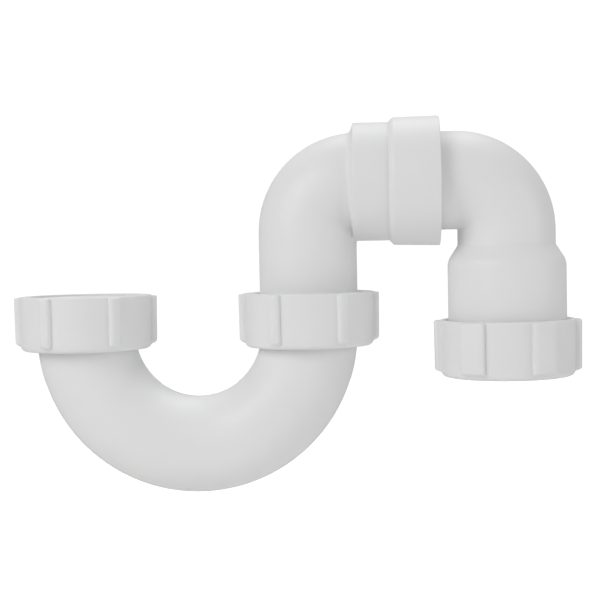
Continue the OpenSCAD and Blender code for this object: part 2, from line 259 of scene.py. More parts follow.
def addBump(tree, scale, detail, strength, distance, under=None):
    # Relief of noise, laid over the relief given as under.
    bump = tree.nodes.new("ShaderNodeBump")
    bump.inputs["Strength"].default_value = strength
    bump.inputs["Distance"].default_value = distance
    tree.links.new(noiseFrom(tree, scale, detail), bump.inputs["Height"])
    if under:
        tree.links.new(under.outputs["Normal"], bump.inputs["Normal"])
    return bump


def patchySkin(name, look):
    # Colour and roughness drift together between two values each, in soft patches.
    material = bpy.data.materials.new(name)
    material.use_nodes = True
    tree = material.node_tree
    skin = tree.nodes["Principled BSDF"]
    patches = noiseFrom(tree, look["patchScale"], look["patchDetail"], look["patchRough"])
    mix = tree.nodes.new("ShaderNodeMix")
    mix.data_type = "RGBA"
    mix.inputs["A"].default_value = (*look["colour"], 1)
    mix.inputs["B"].default_value = (*look["patch"], 1)
    tree.links.new(spread(tree, patches, 0, 1), mix.inputs["Factor"])
    tree.links.new(mix.outputs["Result"], skin.inputs["Base Color"])
    tree.links.new(spread(tree, patches, look["roughLow"], look["roughHigh"]), skin.inputs["Roughness"])
    skin.inputs["IOR"].default_value = look["ior"]
    return material, tree, skin


def makePlastic(name, look):
    # Moulded plastic: a satin skin that lets a little light through, with slow waves from the mould under
    # a fine grain.
    material, tree, skin = patchySkin(name, look)
    skin.inputs["Subsurface Weight"].default_value = look["through"]
    skin.inputs["Subsurface Radius"].default_value = look["throughColour"]
    skin.inputs["Subsurface Scale"].default_value = look["throughDepth"]
    waves = addBump(tree, look["waveScale"], 1, look["wave"], look["waveDepth"])
    grain = addBump(tree, look["grainScale"], 2, look["grain"], look["grainDepth"], waves)
    tree.links.new(grain.outputs["Normal"], skin.inputs["Normal"])
    return material


def makeRubber(name, look):
    # Black sealing rubber: nearly matt, with a trace of grey bloom in patches and a fine grain.
    material, tree, skin = patchySkin(name, look)
    grain = addBump(tree, look["grainScale"], 2, look["grain"], look["grainDepth"])
    tree.links.new(grain.outputs["Normal"], skin.inputs["Normal"])
    return material


whitePlastic = makePlastic("whitePolypropylene", polypropylene)
nutPlastic = makePlastic("nutPolypropylene", nutPolypropylene)
waxyPlastic = makePlastic("naturalPolyethylene", polyethylene)
blackRubber = makeRubber("blackRubber", rubber)
print("materials made")


# U-bend

uBend = {"around": 144, "along": 150, "edge": 0.6, "underEdge": 0.25, "flange": 2.2, "lip": 1.2,
         "levelShare": 0.1}


def bendRows(radius, arcs, angles):
    # Points of a half ring under the seat: x = R - reach cos(arc) and z = -reach sin(arc), where R is the
    # radius of the bend and reach = R + radius cos(angle).
    reach = plan["bendR"] + radius * np.cos(angles)
    return np.stack([plan["bendR"] - reach * np.cos(arcs),
                     np.broadcast_to(radius * np.sin(angles), arcs.shape),
                     -reach * np.sin(arcs)], 2)


def bendArcs(radius, top, angles):
    # Arc angles for one skin. The first and last rows are level, at the height given, the others square
    # to the tube, and near the ends the rows turn smoothly from one to the other.
    reach = plan["bendR"] + radius * np.cos(angles)
    along = np.linspace(0, 1, uBend["along"])[:, None]
    level = np.arcsin(-top / reach)
    square = math.asin(-top / plan["bendR"])
    share = smooth(np.minimum(along, 1 - along) / uBend["levelShare"])
    start = level * (1 - share) + square * share
    return start + along * (math.pi - 2 * start)


def makeUBend():
    # Outer skin from the inlet to the riser, the riser's flange, the bore's skin back, the inlet's
    # flange. Angle 0 of the tube is its outer side, which is -X at the inlet, so the angles run the other
    # way round there.
    angles = evenAngles(uBend["around"])
    top, flangeR = plan["flangeTop"], plan["flangeR"]
    under, lipR = top - uBend["flange"], flangeR - uBend["lip"]
    outerR, innerR = plan["bendOuterR"], plan["bendOuterR"] - walls["bend"]
    outside = bendRows(outerR, bendArcs(outerR, under, angles), angles)
    inside = bendRows(innerR, bendArcs(innerR, top, angles), angles)[::-1]
    profile = filleted([(lipR, under, 0), (flangeR, under, uBend["underEdge"]), (flangeR, top, uBend["edge"]),
                        (lipR, top, 0)])
    radii = np.repeat(profile[:, :1], uBend["around"], 1)
    atRiser = aroundAxis(radii, profile[:, 1:], angles, plan["riserX"])
    atInlet = aroundAxis(radii, profile[:, 1:], math.pi - angles, 0)[::-1]
    rows = np.concatenate([outside, atRiser, inside, atInlet])
    return meshOf("uBend", rows, "trap", "u_bend", whitePlastic)


# Nuts. A nut is one skin: its outline goes round from the hole in the floor, up the outside, over the rim
# and down the thread. The columns crowd together at each rib, where they follow the rib's rounded
# section.

unionNut = {"phase": {"inlet_nut": -53.0, "union_nut": -57.0}, "ribs": 6, "ribWidth": 5.2, "ribHeight": 2.35,
            "ribPower": 3.2, "ribTop": 0.4, "ribFoot": 1.9, "footRound": 2.1, "tipNarrow": 0.7, "draft": 0.25,
            "wall": 4.65, "floor": 2.3, "edge": 2.4, "rootR": 23.95, "relief": 0.25, "holeGap": 0.3,
            "threadDepth": 1.42, "pitch": 2.309, "threadStart": 0.4, "width": 0.12}
outletNut = {"phase": -64.5, "ribs": 6, "ribWidth": 11.0, "ribHeight": 2.7,
             "ribPower": 6.5, "ribTop": 0.4, "ribFoot": 2.5, "footRound": 1.3, "tipNarrow": 0.08,
             "draft": 0.25, "wall": 2.2, "floor": 3.4, "edge": 3.0, "rootR": 27.6, "relief": 0.25,
             "holeR": 22.5, "threadDepth": 1.2, "pitch": 4.0, "threadStart": 3.0, "width": 0.25}
# Small roundings, and numbers of rows and columns, that both kinds of nut share
nutRounds = {"hole": 0.4, "rim": 0.3, "rimStep": 0.1, "floor": 0.5, "lip": 0.3}
nutGrid = {"arcSteps": 5, "acrossRib": 23, "betweenRibs": 14, "footRows": 9, "barRows": 8, "topRows": 6,
           "outside": 0.02, "rowsPerTurn": 16, "runOut": 1.2}


def nutSizes(nut, node):
    # Heights and radii that the parts of one nut share, worked out from its box.
    low, high = nodeBox(node)
    bodyR, floorTop = nut["rootR"] + nut["wall"], low[2] + nut["floor"]
    return {"bottom": low[2], "top": high[2], "rimStart": high[2] - walls["edge"],
            "floorTop": floorTop, "threadStart": floorTop + nut["threadStart"],
            "bodyR": bodyR, "footR": bodyR - nut["draft"],
            "ribFoot": low[2] + nut["ribFoot"], "ribTop": high[2] - nut["ribTop"],
            "headStart": high[2] - nut["ribTop"] - walls["edge"]}


def bendHole(bottom):
    # Radius of the hole in the floor of a nut on the U-bend, which is already curving there. At that height
    # its centre line is across = sqrt(R^2 - bottom^2) from the bend's centre, so it has moved in by
    # R - across, and a level cut through the tube is wider than the tube by R / across.
    bendR = plan["bendR"]
    across = math.sqrt(bendR ** 2 - bottom ** 2)
    return bendR - across + plan["bendOuterR"] * bendR / across + unionNut["holeGap"]


def ribHeights(nut, at):
    # Heights of the rows across the ribs: crowded as a cosine over the rounded foot, even up the bar,
    # crowded as a sine over the eased top, with one row just outside each end.
    footTurn = np.linspace(0, quarterTurn, nutGrid["footRows"])
    topTurn = np.linspace(0, quarterTurn, nutGrid["topRows"])[1:]
    bar = np.linspace(at["ribFoot"] + nut["footRound"], at["headStart"], nutGrid["barRows"])[1:]
    return np.concatenate([[at["ribFoot"] - nutGrid["outside"]],
                           at["ribFoot"] + nut["footRound"] * (1 - np.cos(footTurn)), bar,
                           at["headStart"] + walls["edge"] * np.sin(topTurn),
                           [at["ribTop"] + nutGrid["outside"]]])


def nutOutline(nut, at, holeR):
    # Closed outline of radius and height, and which of its points lie outside. Rows for the ribs go into
    # the long outer side, rows for the thread into the long inner side.
    rootR, reliefR = nut["rootR"], nut["rootR"] + nut["relief"]
    bottom, top, threadStart = at["bottom"], at["top"], at["threadStart"]
    plain = filleted([(holeR, bottom, nutRounds["hole"]), (at["footR"], bottom, nut["edge"]),
                      (at["bodyR"], top, walls["edge"]),
                      (rootR + nutRounds["rimStep"], top, nutRounds["rim"]), (rootR, at["rimStart"], 0),
                      (rootR, threadStart, 0), (reliefR, threadStart - nut["relief"], 0),
                      (reliefR, at["floorTop"], nutRounds["floor"]),
                      (holeR, at["floorTop"], nutRounds["lip"])], nutGrid["arcSteps"])
    sideEnd = int(np.argmax(plain[:, 1] > top - 1.5 * walls["edge"]))
    heights = ribHeights(nut, at)
    heights = heights[(heights > plain[sideEnd - 1, 1]) & (heights < plain[sideEnd, 1])]
    share = (heights - bottom) / (top - bottom)
    side = np.stack([at["footR"] + (at["bodyR"] - at["footR"]) * share, heights], 1)
    innerStart = int(np.argmax((np.abs(plain[:, 0] - rootR) < 1e-6) & (plain[:, 1] > threadStart)))
    turns = np.arange(at["rimStart"], threadStart, -nut["pitch"] / nutGrid["rowsPerTurn"])[1:]
    inner = np.stack([np.full(len(turns), rootR), turns], 1)
    outline = np.concatenate([plain[:sideEnd], side, plain[sideEnd:innerStart + 1], inner,
                              plain[innerStart + 1:]])
    isOutside = np.arange(len(outline)) < sideEnd + len(side) + nutGrid["arcSteps"] + 1
    return outline, isOutside[:, None]


def ribColumns(nut, bodyR):
    # Centre line of each column's rib, the column's angle from it, the rib's height there from 0 to 1,
    # and whether the column is on the rib. Across a rib the columns follow a rounded bar |u|^n + h^n = 1,
    # and in the gaps they are even.
    turn, power = np.linspace(0, math.pi, nutGrid["acrossRib"]), 2 / nut["ribPower"]
    across = -np.sign(np.cos(turn)) * np.abs(np.cos(turn)) ** power * nut["ribWidth"] / 2
    height = np.sin(turn) ** power
    height[[0, -1]] = 0
    spacing, halfRib = tau / nut["ribs"], nut["ribWidth"] / 2 / bodyR
    gap = np.linspace(halfRib, spacing - halfRib, nutGrid["betweenRibs"])[1:-1]
    offset = np.concatenate([across / bodyR, gap])
    height = np.concatenate([height, np.zeros(len(gap))])
    onRib = np.concatenate([np.ones(len(across)), np.zeros(len(gap))])
    centre = np.repeat(np.arange(nut["ribs"]) * spacing, len(offset))
    return centre, np.tile(offset, nut["ribs"]), np.tile(height, nut["ribs"]), np.tile(onRib, nut["ribs"])


def ribShape(nut, at, heights, isOutside):
    # How high and how wide a rib is at each height, 0 to 1. Its foot and its eased top are quarter
    # circles, sqrt(1 - x^2), and the foot narrows towards its tip.
    intoFoot = np.clip((heights - at["ribFoot"]) / nut["footRound"], 0, 1)
    intoHead = np.clip((heights - at["headStart"]) / walls["edge"], 0, 1)
    foot, head = np.sqrt(1 - (1 - intoFoot) ** 2), np.sqrt(1 - intoHead ** 2)
    onBar = (heights >= at["ribFoot"]) & (heights < at["ribTop"] + nutGrid["outside"] / 2) & isOutside
    rise = foot * (1 - (1 - head) * walls["edge"] / nut["ribHeight"]) * onBar
    width = 1 - nut["tipNarrow"] * (1 - foot) * (isOutside & (heights >= at["ribFoot"] - 1))
    return rise, width


def makeNut(name, node, body, nut, phase, axisX, holeR):
    # The outline turned round the nut's axis. Outside, a rib adds its height. Inside, the thread takes
    # away its depth times a tooth wave of height / pitch - angle / 2 pi + 1/2, which runs out at both
    # ends. The half turn puts its ridges into the grooves of the thread it meets.
    at = nutSizes(nut, node)
    outline, isOutside = nutOutline(nut, at, holeR)
    radius, heights = outline[:, :1], outline[:, 1:]
    centre, offset, ribHeight, onRib = ribColumns(nut, at["bodyR"])
    rise, width = ribShape(nut, at, heights, isOutside)
    angles = math.radians(phase) + centre + offset * (1 - onRib + onRib * width)
    turns = heights / nut["pitch"] - angles / tau + 0.5
    runIn = smooth((heights - at["threadStart"]) / nutGrid["runOut"])
    runOut = smooth((at["rimStart"] - heights) / nutGrid["runOut"])
    thread = toothWave(turns, nut["width"]) * runIn * runOut * ~isOutside
    radii = radius + nut["ribHeight"] * ribHeight * rise - nut["threadDepth"] * thread
    return meshOf(name, aroundAxis(radii, heights, angles, axisX), body, node, nutPlastic)


# Washers, seals and slip ring

rings = {"around": 128, "washerEdge": 0.35, "washerRing": 4.3, "slipEdge": 0.25, "slipGap": 0.05}


def ringSection(innerR, outerR, node, rounding):
    # The four rounded corners of a ring as high as its box.
    low, high = nodeBox(node)
    return [(innerR, low[2], rounding), (outerR, low[2], rounding),
            (outerR, high[2], rounding), (innerR, high[2], rounding)]


def makeRing(name, node, body, material, corners, axisX=None):
    # A plain ring from its section, turned round a vertical axis, or round the swivel axis where none is
    # given.
    section = filleted(corners)
    angles = evenAngles(rings["around"])
    radii = np.repeat(section[:, :1], rings["around"], 1)
    if axisX is None:
        rows = alongSwivel(radii, section[:, 1:], angles)
    else:
        rows = aroundAxis(radii, section[:, 1:], angles, axisX)
    return meshOf(name, rows, body, node, material)


def makeWasher(name, node, body, axisX):
    # A flat ring as wide as its flange.
    outerR = ringRadius(node)
    section = ringSection(outerR - rings["washerRing"], outerR, node, rings["washerEdge"])
    return makeRing(name, node, body, blackRubber, section, axisX)


swivelSeal = {"lip": 0.6, "groove": 0.45, "grooveHalf": 0.9, "edge": 0.2, "grooveEdge": 0.3}


def makeSwivelSeal():
    # A sleeve with eased lips and a shallow groove round its middle, outside and inside.
    seal = swivelSeal
    low, high = nodeBox("swivel_seal")
    start, end = low[0], high[0]
    middle, lip, edge = (start + end) / 2, seal["lip"], seal["edge"]
    grooveStart, grooveEnd = middle - seal["grooveHalf"], middle + seal["grooveHalf"]
    inner, outer = tubeR + walls["spigotGap"], plan["sealR"]
    section = [(inner, start + lip, edge), (inner + lip, start, edge), (outer, start, edge),
               (outer, grooveStart, edge), (outer - seal["groove"], middle, seal["grooveEdge"]),
               (outer, grooveEnd, edge), (outer, end, edge), (inner + lip, end, edge),
               (inner, end - lip, edge), (inner, grooveEnd, edge),
               (inner + seal["groove"], middle, seal["grooveEdge"]), (inner, grooveStart, edge)]
    return makeRing("swivelSeal", "swivel_seal", "riser", blackRubber, section)


outletSeal = {"innerR": 22.05, "tip": 0.9, "noseLength": 4.4, "taper": 22.0, "base": 2.5, "mouthGap": 0.35,
              "edge": 0.3, "baseEdge": 0.4, "noseEdge": 0.2}
sealTaper = math.tan(math.radians(outletSeal["taper"]))
sealTipR = outletSeal["innerR"] + outletSeal["tip"]
sealNoseR = sealTipR + outletSeal["noseLength"] * sealTaper


def makeOutletSeal():
    # A square base that the socket's end presses on, with a nose that tapers up into the socket's mouth.
    low, high = nodeBox("outlet_seal")
    innerR, outerR = outletSeal["innerR"], ringRadius("outlet_seal")
    edge, baseEdge, noseEdge = (outletSeal[k] for k in ("edge", "baseEdge", "noseEdge"))
    shoulder = low[2] + outletSeal["base"]
    section = [(innerR, low[2], edge), (outerR, low[2], baseEdge), (outerR, shoulder, baseEdge),
               (sealNoseR, shoulder, noseEdge), (sealTipR, high[2], edge), (innerR, high[2], noseEdge)]
    return makeRing("outletSeal", "outlet_seal", "outlet_ring", blackRubber, section,
                    plan["outletX"])


def makeSlipRing():
    # A flat ring under the outlet's seal.
    section = ringSection(outletSeal["innerR"] + rings["slipGap"], ringRadius("outlet_slip_ring"),
                          "outlet_slip_ring", rings["slipEdge"])
    return makeRing("outletSlipRing", "outlet_slip_ring", "outlet_ring", waxyPlastic, section,
                    plan["outletX"])


# Snap cap of the swivel joint. Its ridge sits in the groove of the riser bend's socket.

snap = {"depth": 0.45, "width": 3.0, "gap": 0.1, "middle": (plan["capStart"] + plan["socketEnd"]) / 2}
snapCap = {"around": 160, "arcSteps": 6, "rearWall": 2.55, "flare": 0.45, "bevel": 2.0, "bevelRound": 1.4,
           "frontWall": 3.2, "holeGap": 0.3, "frontEdge": 0.55, "holeEdge": 0.6, "faceEdge": 0.3,
           "cornerEdge": 0.5, "rearEdge": 0.15, "ridgeEdge": 0.1}


def makeSnapCap():
    # The cap's section turned round the swivel axis: rear bevel, flared outside, front wall with its
    # hole, bore with the snap ridge.
    start, end, frontR = plan["capStart"], plan["capEnd"], plan["capFrontR"]
    rearR = frontR - snapCap["flare"]
    innerR = rearR - snapCap["rearWall"]
    face = end - snapCap["frontWall"]
    holeR = tubeR + snapCap["holeGap"]
    ridgeR = innerR - snap["depth"]
    ridgeEnd = snap["middle"] + snap["width"] / 2 - snap["gap"]
    rampStart = snap["middle"] - snap["width"] / 2 + snap["gap"]
    faceEdge, ridgeEdge = snapCap["faceEdge"], snapCap["ridgeEdge"]
    section = filleted([(innerR, start, snapCap["rearEdge"]), (plan["collarR"], start, faceEdge),
                        (rearR, start + snapCap["bevel"], snapCap["bevelRound"]),
                        (frontR, end, snapCap["frontEdge"]), (holeR, end, snapCap["holeEdge"]),
                        (holeR, face, faceEdge), (innerR, face, snapCap["cornerEdge"]),
                        (innerR, ridgeEnd, ridgeEdge), (ridgeR, ridgeEnd, ridgeEdge),
                        (ridgeR, rampStart + snap["depth"], ridgeEdge), (innerR, rampStart, ridgeEdge)],
                       snapCap["arcSteps"])
    radii = np.repeat(section[:, :1], snapCap["around"], 1)
    rows = alongSwivel(radii, section[:, 1:], evenAngles(snapCap["around"]))
    return meshOf("snapCap", rows, "riser", "swivel_cap", whitePlastic)


# Riser bend: tail with its thread, riser, elbow and the socket of the swivel joint, as one skin

riserBend = {"around": 180, "tail": 15.4, "pitch": 2.309, "threadDepth": 1.48, "width": 0.12,
             "rowsPerTurn": 16, "threadFrom": 0.9, "threadTo": 0.2, "fadeFrom": 0.8, "fadeTo": 0.4,
             "runOut": 1.2, "collarLead": 2.5, "collarEdge": 0.6, "collarBevel": 1.2, "landStep": 0.53,
             "landEdge": 0.1, "spigotStop": 0.5, "upright": 64, "blend": 9, "edgeRows": 6,
             "filletStep": 0.35, "filletRounds": 14, "creep": 0.945, "edgeCreep": 0.1,
             "plain": 4.0, "turnBack": 8.0, "plainEnd": 3.0, "boreRows": 40, "boreLead": 2.0,
             "sharpAngle": 40}
shoulderZ = riserBend["tail"] + 2 * (plan["tailR"] - tubeR)  # top of the cone between tail and tube
cornerZ = plan["swivelZ"] - elbowR
chamberR = plan["sealR"] + walls["sealGap"]


def riserTail(angles):
    # End face, threaded tail and the cone up to the tube. The thread adds its depth times a tooth wave of
    # height / pitch - angle / 2 pi, which runs out at both ends.
    bend, tailR = riserBend, plan["tailR"]
    turned = np.arange(bend["threadFrom"], bend["tail"] - bend["threadTo"],
                       bend["pitch"] / bend["rowsPerTurn"])
    heights = np.concatenate([[0, 0, walls["edge"]], turned, [bend["tail"], shoulderZ]])[:, None]
    plain = np.concatenate([[boreR + walls["ease"], tailR - walls["edge"], tailR],
                            np.full(len(turned), tailR), [tailR, tubeR]])[:, None]
    runIn = smooth((heights - bend["fadeFrom"]) / bend["runOut"])
    runOut = smooth((bend["tail"] - bend["fadeTo"] - heights) / bend["runOut"])
    thread = toothWave(heights / bend["pitch"] - angles / tau, bend["width"]) * runIn * runOut
    return aroundAxis(plain + bend["threadDepth"] * thread, heights, angles, plan["riserX"])


def collarMeeting(angles):
    # Travel at which each line along the tube runs into the collar, and whether it comes up through its
    # underside. Next to the corner a line climbs into the cylinder, at elbow radius - sqrt(R^2 - y^2).
    # Everywhere else it turns into the rear face, at elbow radius * arccos(lead / reach).
    beside, side = tubeR * np.cos(angles), tubeR * np.sin(angles)
    underside = beside > elbowR - riserBend["collarLead"]
    climb = elbowR - np.sqrt(plan["collarR"] ** 2 - side ** 2)
    turnIn = np.arccos(np.clip(riserBend["collarLead"] / (elbowR - beside), -1, 1)) * elbowR
    return np.where(underside, climb, turnIn), underside


def riserTube(angles, meet):
    # Rows from the cone to the meeting line: even along each line, and the last ones one fillet step apart.
    start = shoulderZ - cornerZ
    back = np.arange(riserBend["blend"], 0, -1)[:, None] * riserBend["filletStep"]
    share = np.linspace(0, 1, riserBend["upright"])[1:-1, None]
    travel = np.concatenate([start + share * (meet - back[0] - start), meet - back, meet])
    return elbowPoints(tubeR, travel, angles, plan["riserX"] + elbowR)


def collarRows(line, underside, collarX):
    # From the meeting line across the bevelled rear face and over its rounded edge to the cylinder. Where
    # the line is on the underside there is no face, and the rows creep along the cylinder instead. Also
    # returns the line's angles round the swivel axis.
    bend, collarR = riserBend, plan["collarR"]
    lineX, side, down = line[None, :, 0], line[None, :, 1], plan["swivelZ"] - line[None, :, 2]
    lineR, lineAngles = np.hypot(side, down), np.arctan2(side, down)
    edgeStart, bevelStart = collarR - bend["collarEdge"], tubeR + (collarR - tubeR) / 4
    steps = np.linspace(0, 1, bend["blend"] + 1)[1:, None]
    faceR = lineR + (edgeStart - lineR) * steps
    faceX = collarX + bend["collarBevel"] * np.clip((faceR - bevelStart) / (collarR - bevelStart), 0, 1)
    turn = np.linspace(0, quarterTurn, bend["edgeRows"])[1:, None]
    edgeR = np.repeat(edgeStart + bend["collarEdge"] * np.sin(turn), bend["around"], 1)
    edgeX = faceX[-1] + bend["collarEdge"] * (1 - np.cos(turn))
    creep = np.concatenate([steps * bend["creep"], bend["creep"] + bend["edgeCreep"] * turn])
    radii = np.where(underside, collarR, np.concatenate([faceR, edgeR]))
    distances = np.where(underside, lineX + creep, np.concatenate([faceX, edgeX]))
    return alongSwivel(radii, distances, lineAngles), lineAngles


def easeSeam(rows, seam):
    # Rounds the inner corner where the tube meets the collar: each row near the seam becomes the mean of
    # itself, twice, and its two neighbours, again and again.
    first, last = seam - riserBend["blend"], seam + riserBend["blend"] - 2
    for _ in range(riserBend["filletRounds"]):
        rows[first:last] = (rows[first - 1:last - 1] + 2 * rows[first:last] + rows[first + 1:last + 1]) / 4
    return rows


def socketOutline(collarX):
    # Radius and X of the collar's cylinder, the land with the snap groove, the mouth, the seal's chamber
    # and the guide that the spigot turns in.
    bend, edge, ease = riserBend, walls["edge"], walls["ease"]
    collarR, capStart = plan["collarR"], plan["capStart"]
    socketEnd, sealStart = plan["socketEnd"], plan["sealStart"]
    landR, guideR = collarR - bend["landStep"], tubeR + walls["spigotGap"]
    grooveR = landR - snap["depth"]
    grooveStart, grooveEnd = snap["middle"] - snap["width"] / 2, snap["middle"] + snap["width"] / 2
    guideStart = plan["spigotStart"] - bend["spigotStop"]
    return np.array([(collarR, collarX + bend["plain"]), (collarR, capStart - bend["plainEnd"]),
                     (collarR, capStart - ease), (collarR - bend["landEdge"], capStart), (landR, capStart),
                     (landR, grooveStart), (grooveR, grooveStart + snap["depth"]),
                     (grooveR, grooveEnd), (landR, grooveEnd), (landR, socketEnd - edge),
                     (landR - edge, socketEnd), (chamberR + ease, socketEnd), (chamberR, socketEnd - ease),
                     (chamberR, sealStart), (guideR, sealStart), (guideR, guideStart), (boreR, guideStart)])


def socketRows(angles, lineAngles, collarX):
    # The socket's outline turned round the swivel axis. Its columns start at the meeting line's angles
    # and turn back to even ones along the collar.
    outline = socketOutline(collarX)
    turnedBack = smooth((outline[:, 1:] - collarX - riserBend["plain"]) / riserBend["turnBack"])
    offset = np.mod(lineAngles - angles + math.pi, tau) - math.pi
    radii = np.repeat(outline[:, :1], riserBend["around"], 1)
    return alongSwivel(radii, outline[:, 1:], angles + offset * (1 - turnedBack))


def riserBore(angles):
    # The bore from the socket back through the elbow to the tail's end face.
    travel = np.concatenate([[elbowTravel + riserBend["boreLead"]],
                             np.linspace(elbowTravel, 0, riserBend["boreRows"]),
                             [-cornerZ / 2, walls["ease"] - cornerZ]])[:, None]
    return elbowPoints(boreR, travel, angles, plan["riserX"] + elbowR)


def makeRiserBend():
    # Up the outside from the tail to the socket's mouth, and back down through the bore.
    angles = evenAngles(riserBend["around"])
    collarX = plan["riserX"] + elbowR - riserBend["collarLead"]
    meet, underside = collarMeeting(angles)
    tube = riserTube(angles, meet)
    collar, lineAngles = collarRows(tube[-1], underside, collarX)
    outside = easeSeam(np.concatenate([tube, collar]), len(tube))
    socket = socketRows(angles, lineAngles, collarX)
    rows = np.concatenate([riserTail(angles), outside, socket, riserBore(angles)])
    return meshOf("riserBend", rows, "riser", "riser_bend", whitePlastic, riserBend["sharpAngle"])


# Outlet bend: spigot with its bead, elbow, leg, flare and the threaded pipe socket, as one skin. Lengths
# of its leg, with the two ends of the thread, are depths below the swivel axis.

outletBend = {"around": 160, "bead": 3.0, "beadGap": 0.4, "beadRoom": 0.3, "beadEdge": 0.5, "rootEdge": 0.15,
              "spigotLead": 0.4, "elbowRows": 60, "flareStart": 28.6, "flareAngle": 33.0, "flareRound": 8.0,
              "flareRows": 9, "flareLead": 4.0, "flareEdge": 1.2, "underFlare": 8.0, "pipeBoreR": 22.0,
              "thread": (65.0, 77.4), "threadLead": 1.0, "threadTrail": 0.6, "pitch": 4.0, "threadDepth": 1.3,
              "width": 0.25, "rowsPerTurn": 24, "runIn": 1.6, "runOut": 1.2, "mouthLead": 15.0,
              "boreLead": 3.0, "boreRows": 40}


def spigotLine(cornerX):
    # Travel and radius from the spigot's end, over the bead that the cap holds, to the elbow.
    bend, start = outletBend, plan["spigotStart"] - cornerX
    beadEnd = plan["capEnd"] - snapCap["frontWall"] - bend["beadGap"] - cornerX
    beadStart, beadR, rootEdge = beadEnd - bend["bead"], chamberR - bend["beadRoom"], bend["rootEdge"]
    return filleted([(start, boreR, 0), (start, tubeR, walls["edge"]), (beadStart, tubeR, rootEdge),
                     (beadStart, beadR, bend["beadEdge"]), (beadEnd, beadR, rootEdge),
                     (beadEnd, tubeR, rootEdge), (-bend["spigotLead"], tubeR, 0)])[1:]


def legLine():
    # Depth and radius of the leg, its flare, the pipe socket, its tapered mouth, the pipe's stop and the
    # bore. The flare is a cone and an arc that ends level with the socket, and the mouth follows the
    # seal's nose.
    bend, ease = outletBend, walls["ease"]
    socketR, pipeR = plan["pipeSocketR"], bend["pipeBoreR"]
    turn = np.radians(np.linspace(bend["flareAngle"], 0, bend["flareRows"]))
    coneR = socketR - bend["flareRound"] * (1 - math.cos(turn[0]))
    coneEnd = bend["flareStart"] + (coneR - tubeR) / math.tan(turn[0])
    flareEnd = coneEnd + bend["flareRound"] * math.sin(turn[0])
    cone = filleted([(bend["flareStart"] - bend["flareLead"], tubeR, 0),
                     (bend["flareStart"], tubeR, bend["flareEdge"]), (coneEnd, coneR, 0)])[:-1]
    arc = np.stack([flareEnd - bend["flareRound"] * np.sin(turn),
                    socketR - bend["flareRound"] * (1 - np.cos(turn))], 1)
    turned = np.arange(bend["thread"][0] - bend["threadLead"], bend["thread"][1] + bend["threadTrail"],
                       bend["pitch"] / bend["rowsPerTurn"])
    thread = np.stack([turned, np.full(len(turned), socketR)], 1)
    end, pipeStop = plan["swivelZ"] - plan["pipeSocketEnd"], flareEnd - walls["tube"] / 2
    mouthR = sealNoseR + outletSeal["mouthGap"] * (math.hypot(1, sealTaper) - sealTaper)
    mouthTop = end - (mouthR - pipeR) / sealTaper
    return np.concatenate([cone, arc, [(flareEnd + bend["underFlare"], socketR)], thread,
                           [(end - ease, socketR), (end, socketR - ease), (end, mouthR),
                            (mouthTop, pipeR), (mouthTop - bend["mouthLead"], pipeR), (pipeStop, pipeR),
                            (pipeStop, boreR), (elbowR + bend["boreLead"], boreR)]])


def makeOutletBend():
    # Round the outside from the spigot's end to the pipe socket's, and back through the bore. The thread
    # adds its depth times a tooth wave of height / pitch - angle / 2 pi, which runs out at both ends. The
    # angle counts from +X, so it is pi less the elbow's.
    bend = outletBend
    angles = evenAngles(bend["around"])
    cornerX = plan["outletX"] - elbowR
    spigotEnd = plan["spigotStart"] - cornerX
    toTravel = elbowTravel - elbowR  # what turns a depth on the leg into a travel
    elbow = np.stack([np.linspace(0, elbowTravel, bend["elbowRows"]), np.full(bend["elbowRows"], tubeR)], 1)
    bore = np.stack([np.linspace(elbowTravel, 0, bend["boreRows"]), np.full(bend["boreRows"], boreR)], 1)
    boreEnd = [(spigotEnd + walls["ease"], boreR), (spigotEnd, boreR + walls["ease"])]
    line = np.concatenate([spigotLine(cornerX), elbow, legLine() + [toTravel, 0], bore, boreEnd])
    travel, radii = line[:, :1], line[:, 1:]
    depth = travel - toTravel
    turns = (plan["swivelZ"] - depth) / bend["pitch"] - (math.pi - angles) / tau
    runIn = smooth((depth - bend["thread"][0]) / bend["runIn"])
    runOut = smooth((bend["thread"][1] - depth) / bend["runOut"])
    thread = toothWave(turns, bend["width"]) * runIn * runOut * (radii == plan["pipeSocketR"])
    rows = elbowPoints(radii + bend["threadDepth"] * thread, travel, angles, cornerX, turnsDown=True)
    return meshOf("outletBend", rows, "outlet", "outlet_bend", whitePlastic)


trapHole = bendHole(nodeBox("inlet_nut")[0][2])
makeUBend()
makeNut("inletNut", "inlet_nut", "inlet_nut", unionNut, unionNut["phase"]["inlet_nut"], 0.0, trapHole)
makeNut("unionNut", "union_nut", "union_nut", unionNut, unionNut["phase"]["union_nut"], plan["riserX"],
        trapHole)
makeNut("outletNut", "outlet_nut", "outlet_nut", outletNut, outletNut["phase"], plan["outletX"],
        outletNut["holeR"])
makeWasher("inletWasher", "inlet_washer", "trap", 0.0)
makeWasher("unionWasher", "union_washer", "swing", plan["riserX"])
makeSwivelSeal()
makeOutletSeal()
makeSlipRing()
makeSnapCap()
makeRiserBend()
makeOutletBend()
print("pieces made")


# Camera, floor and light

view = {"position": (132.31, -572.75, 35.10), "yaw": -0.658, "pitch": -2.215, "roll": -1.012,
        "focal": 1300.0, "middle": 370.4, "frameWidth": 600.0, "sensor": 36.0, "near": 0.01, "far": 50}


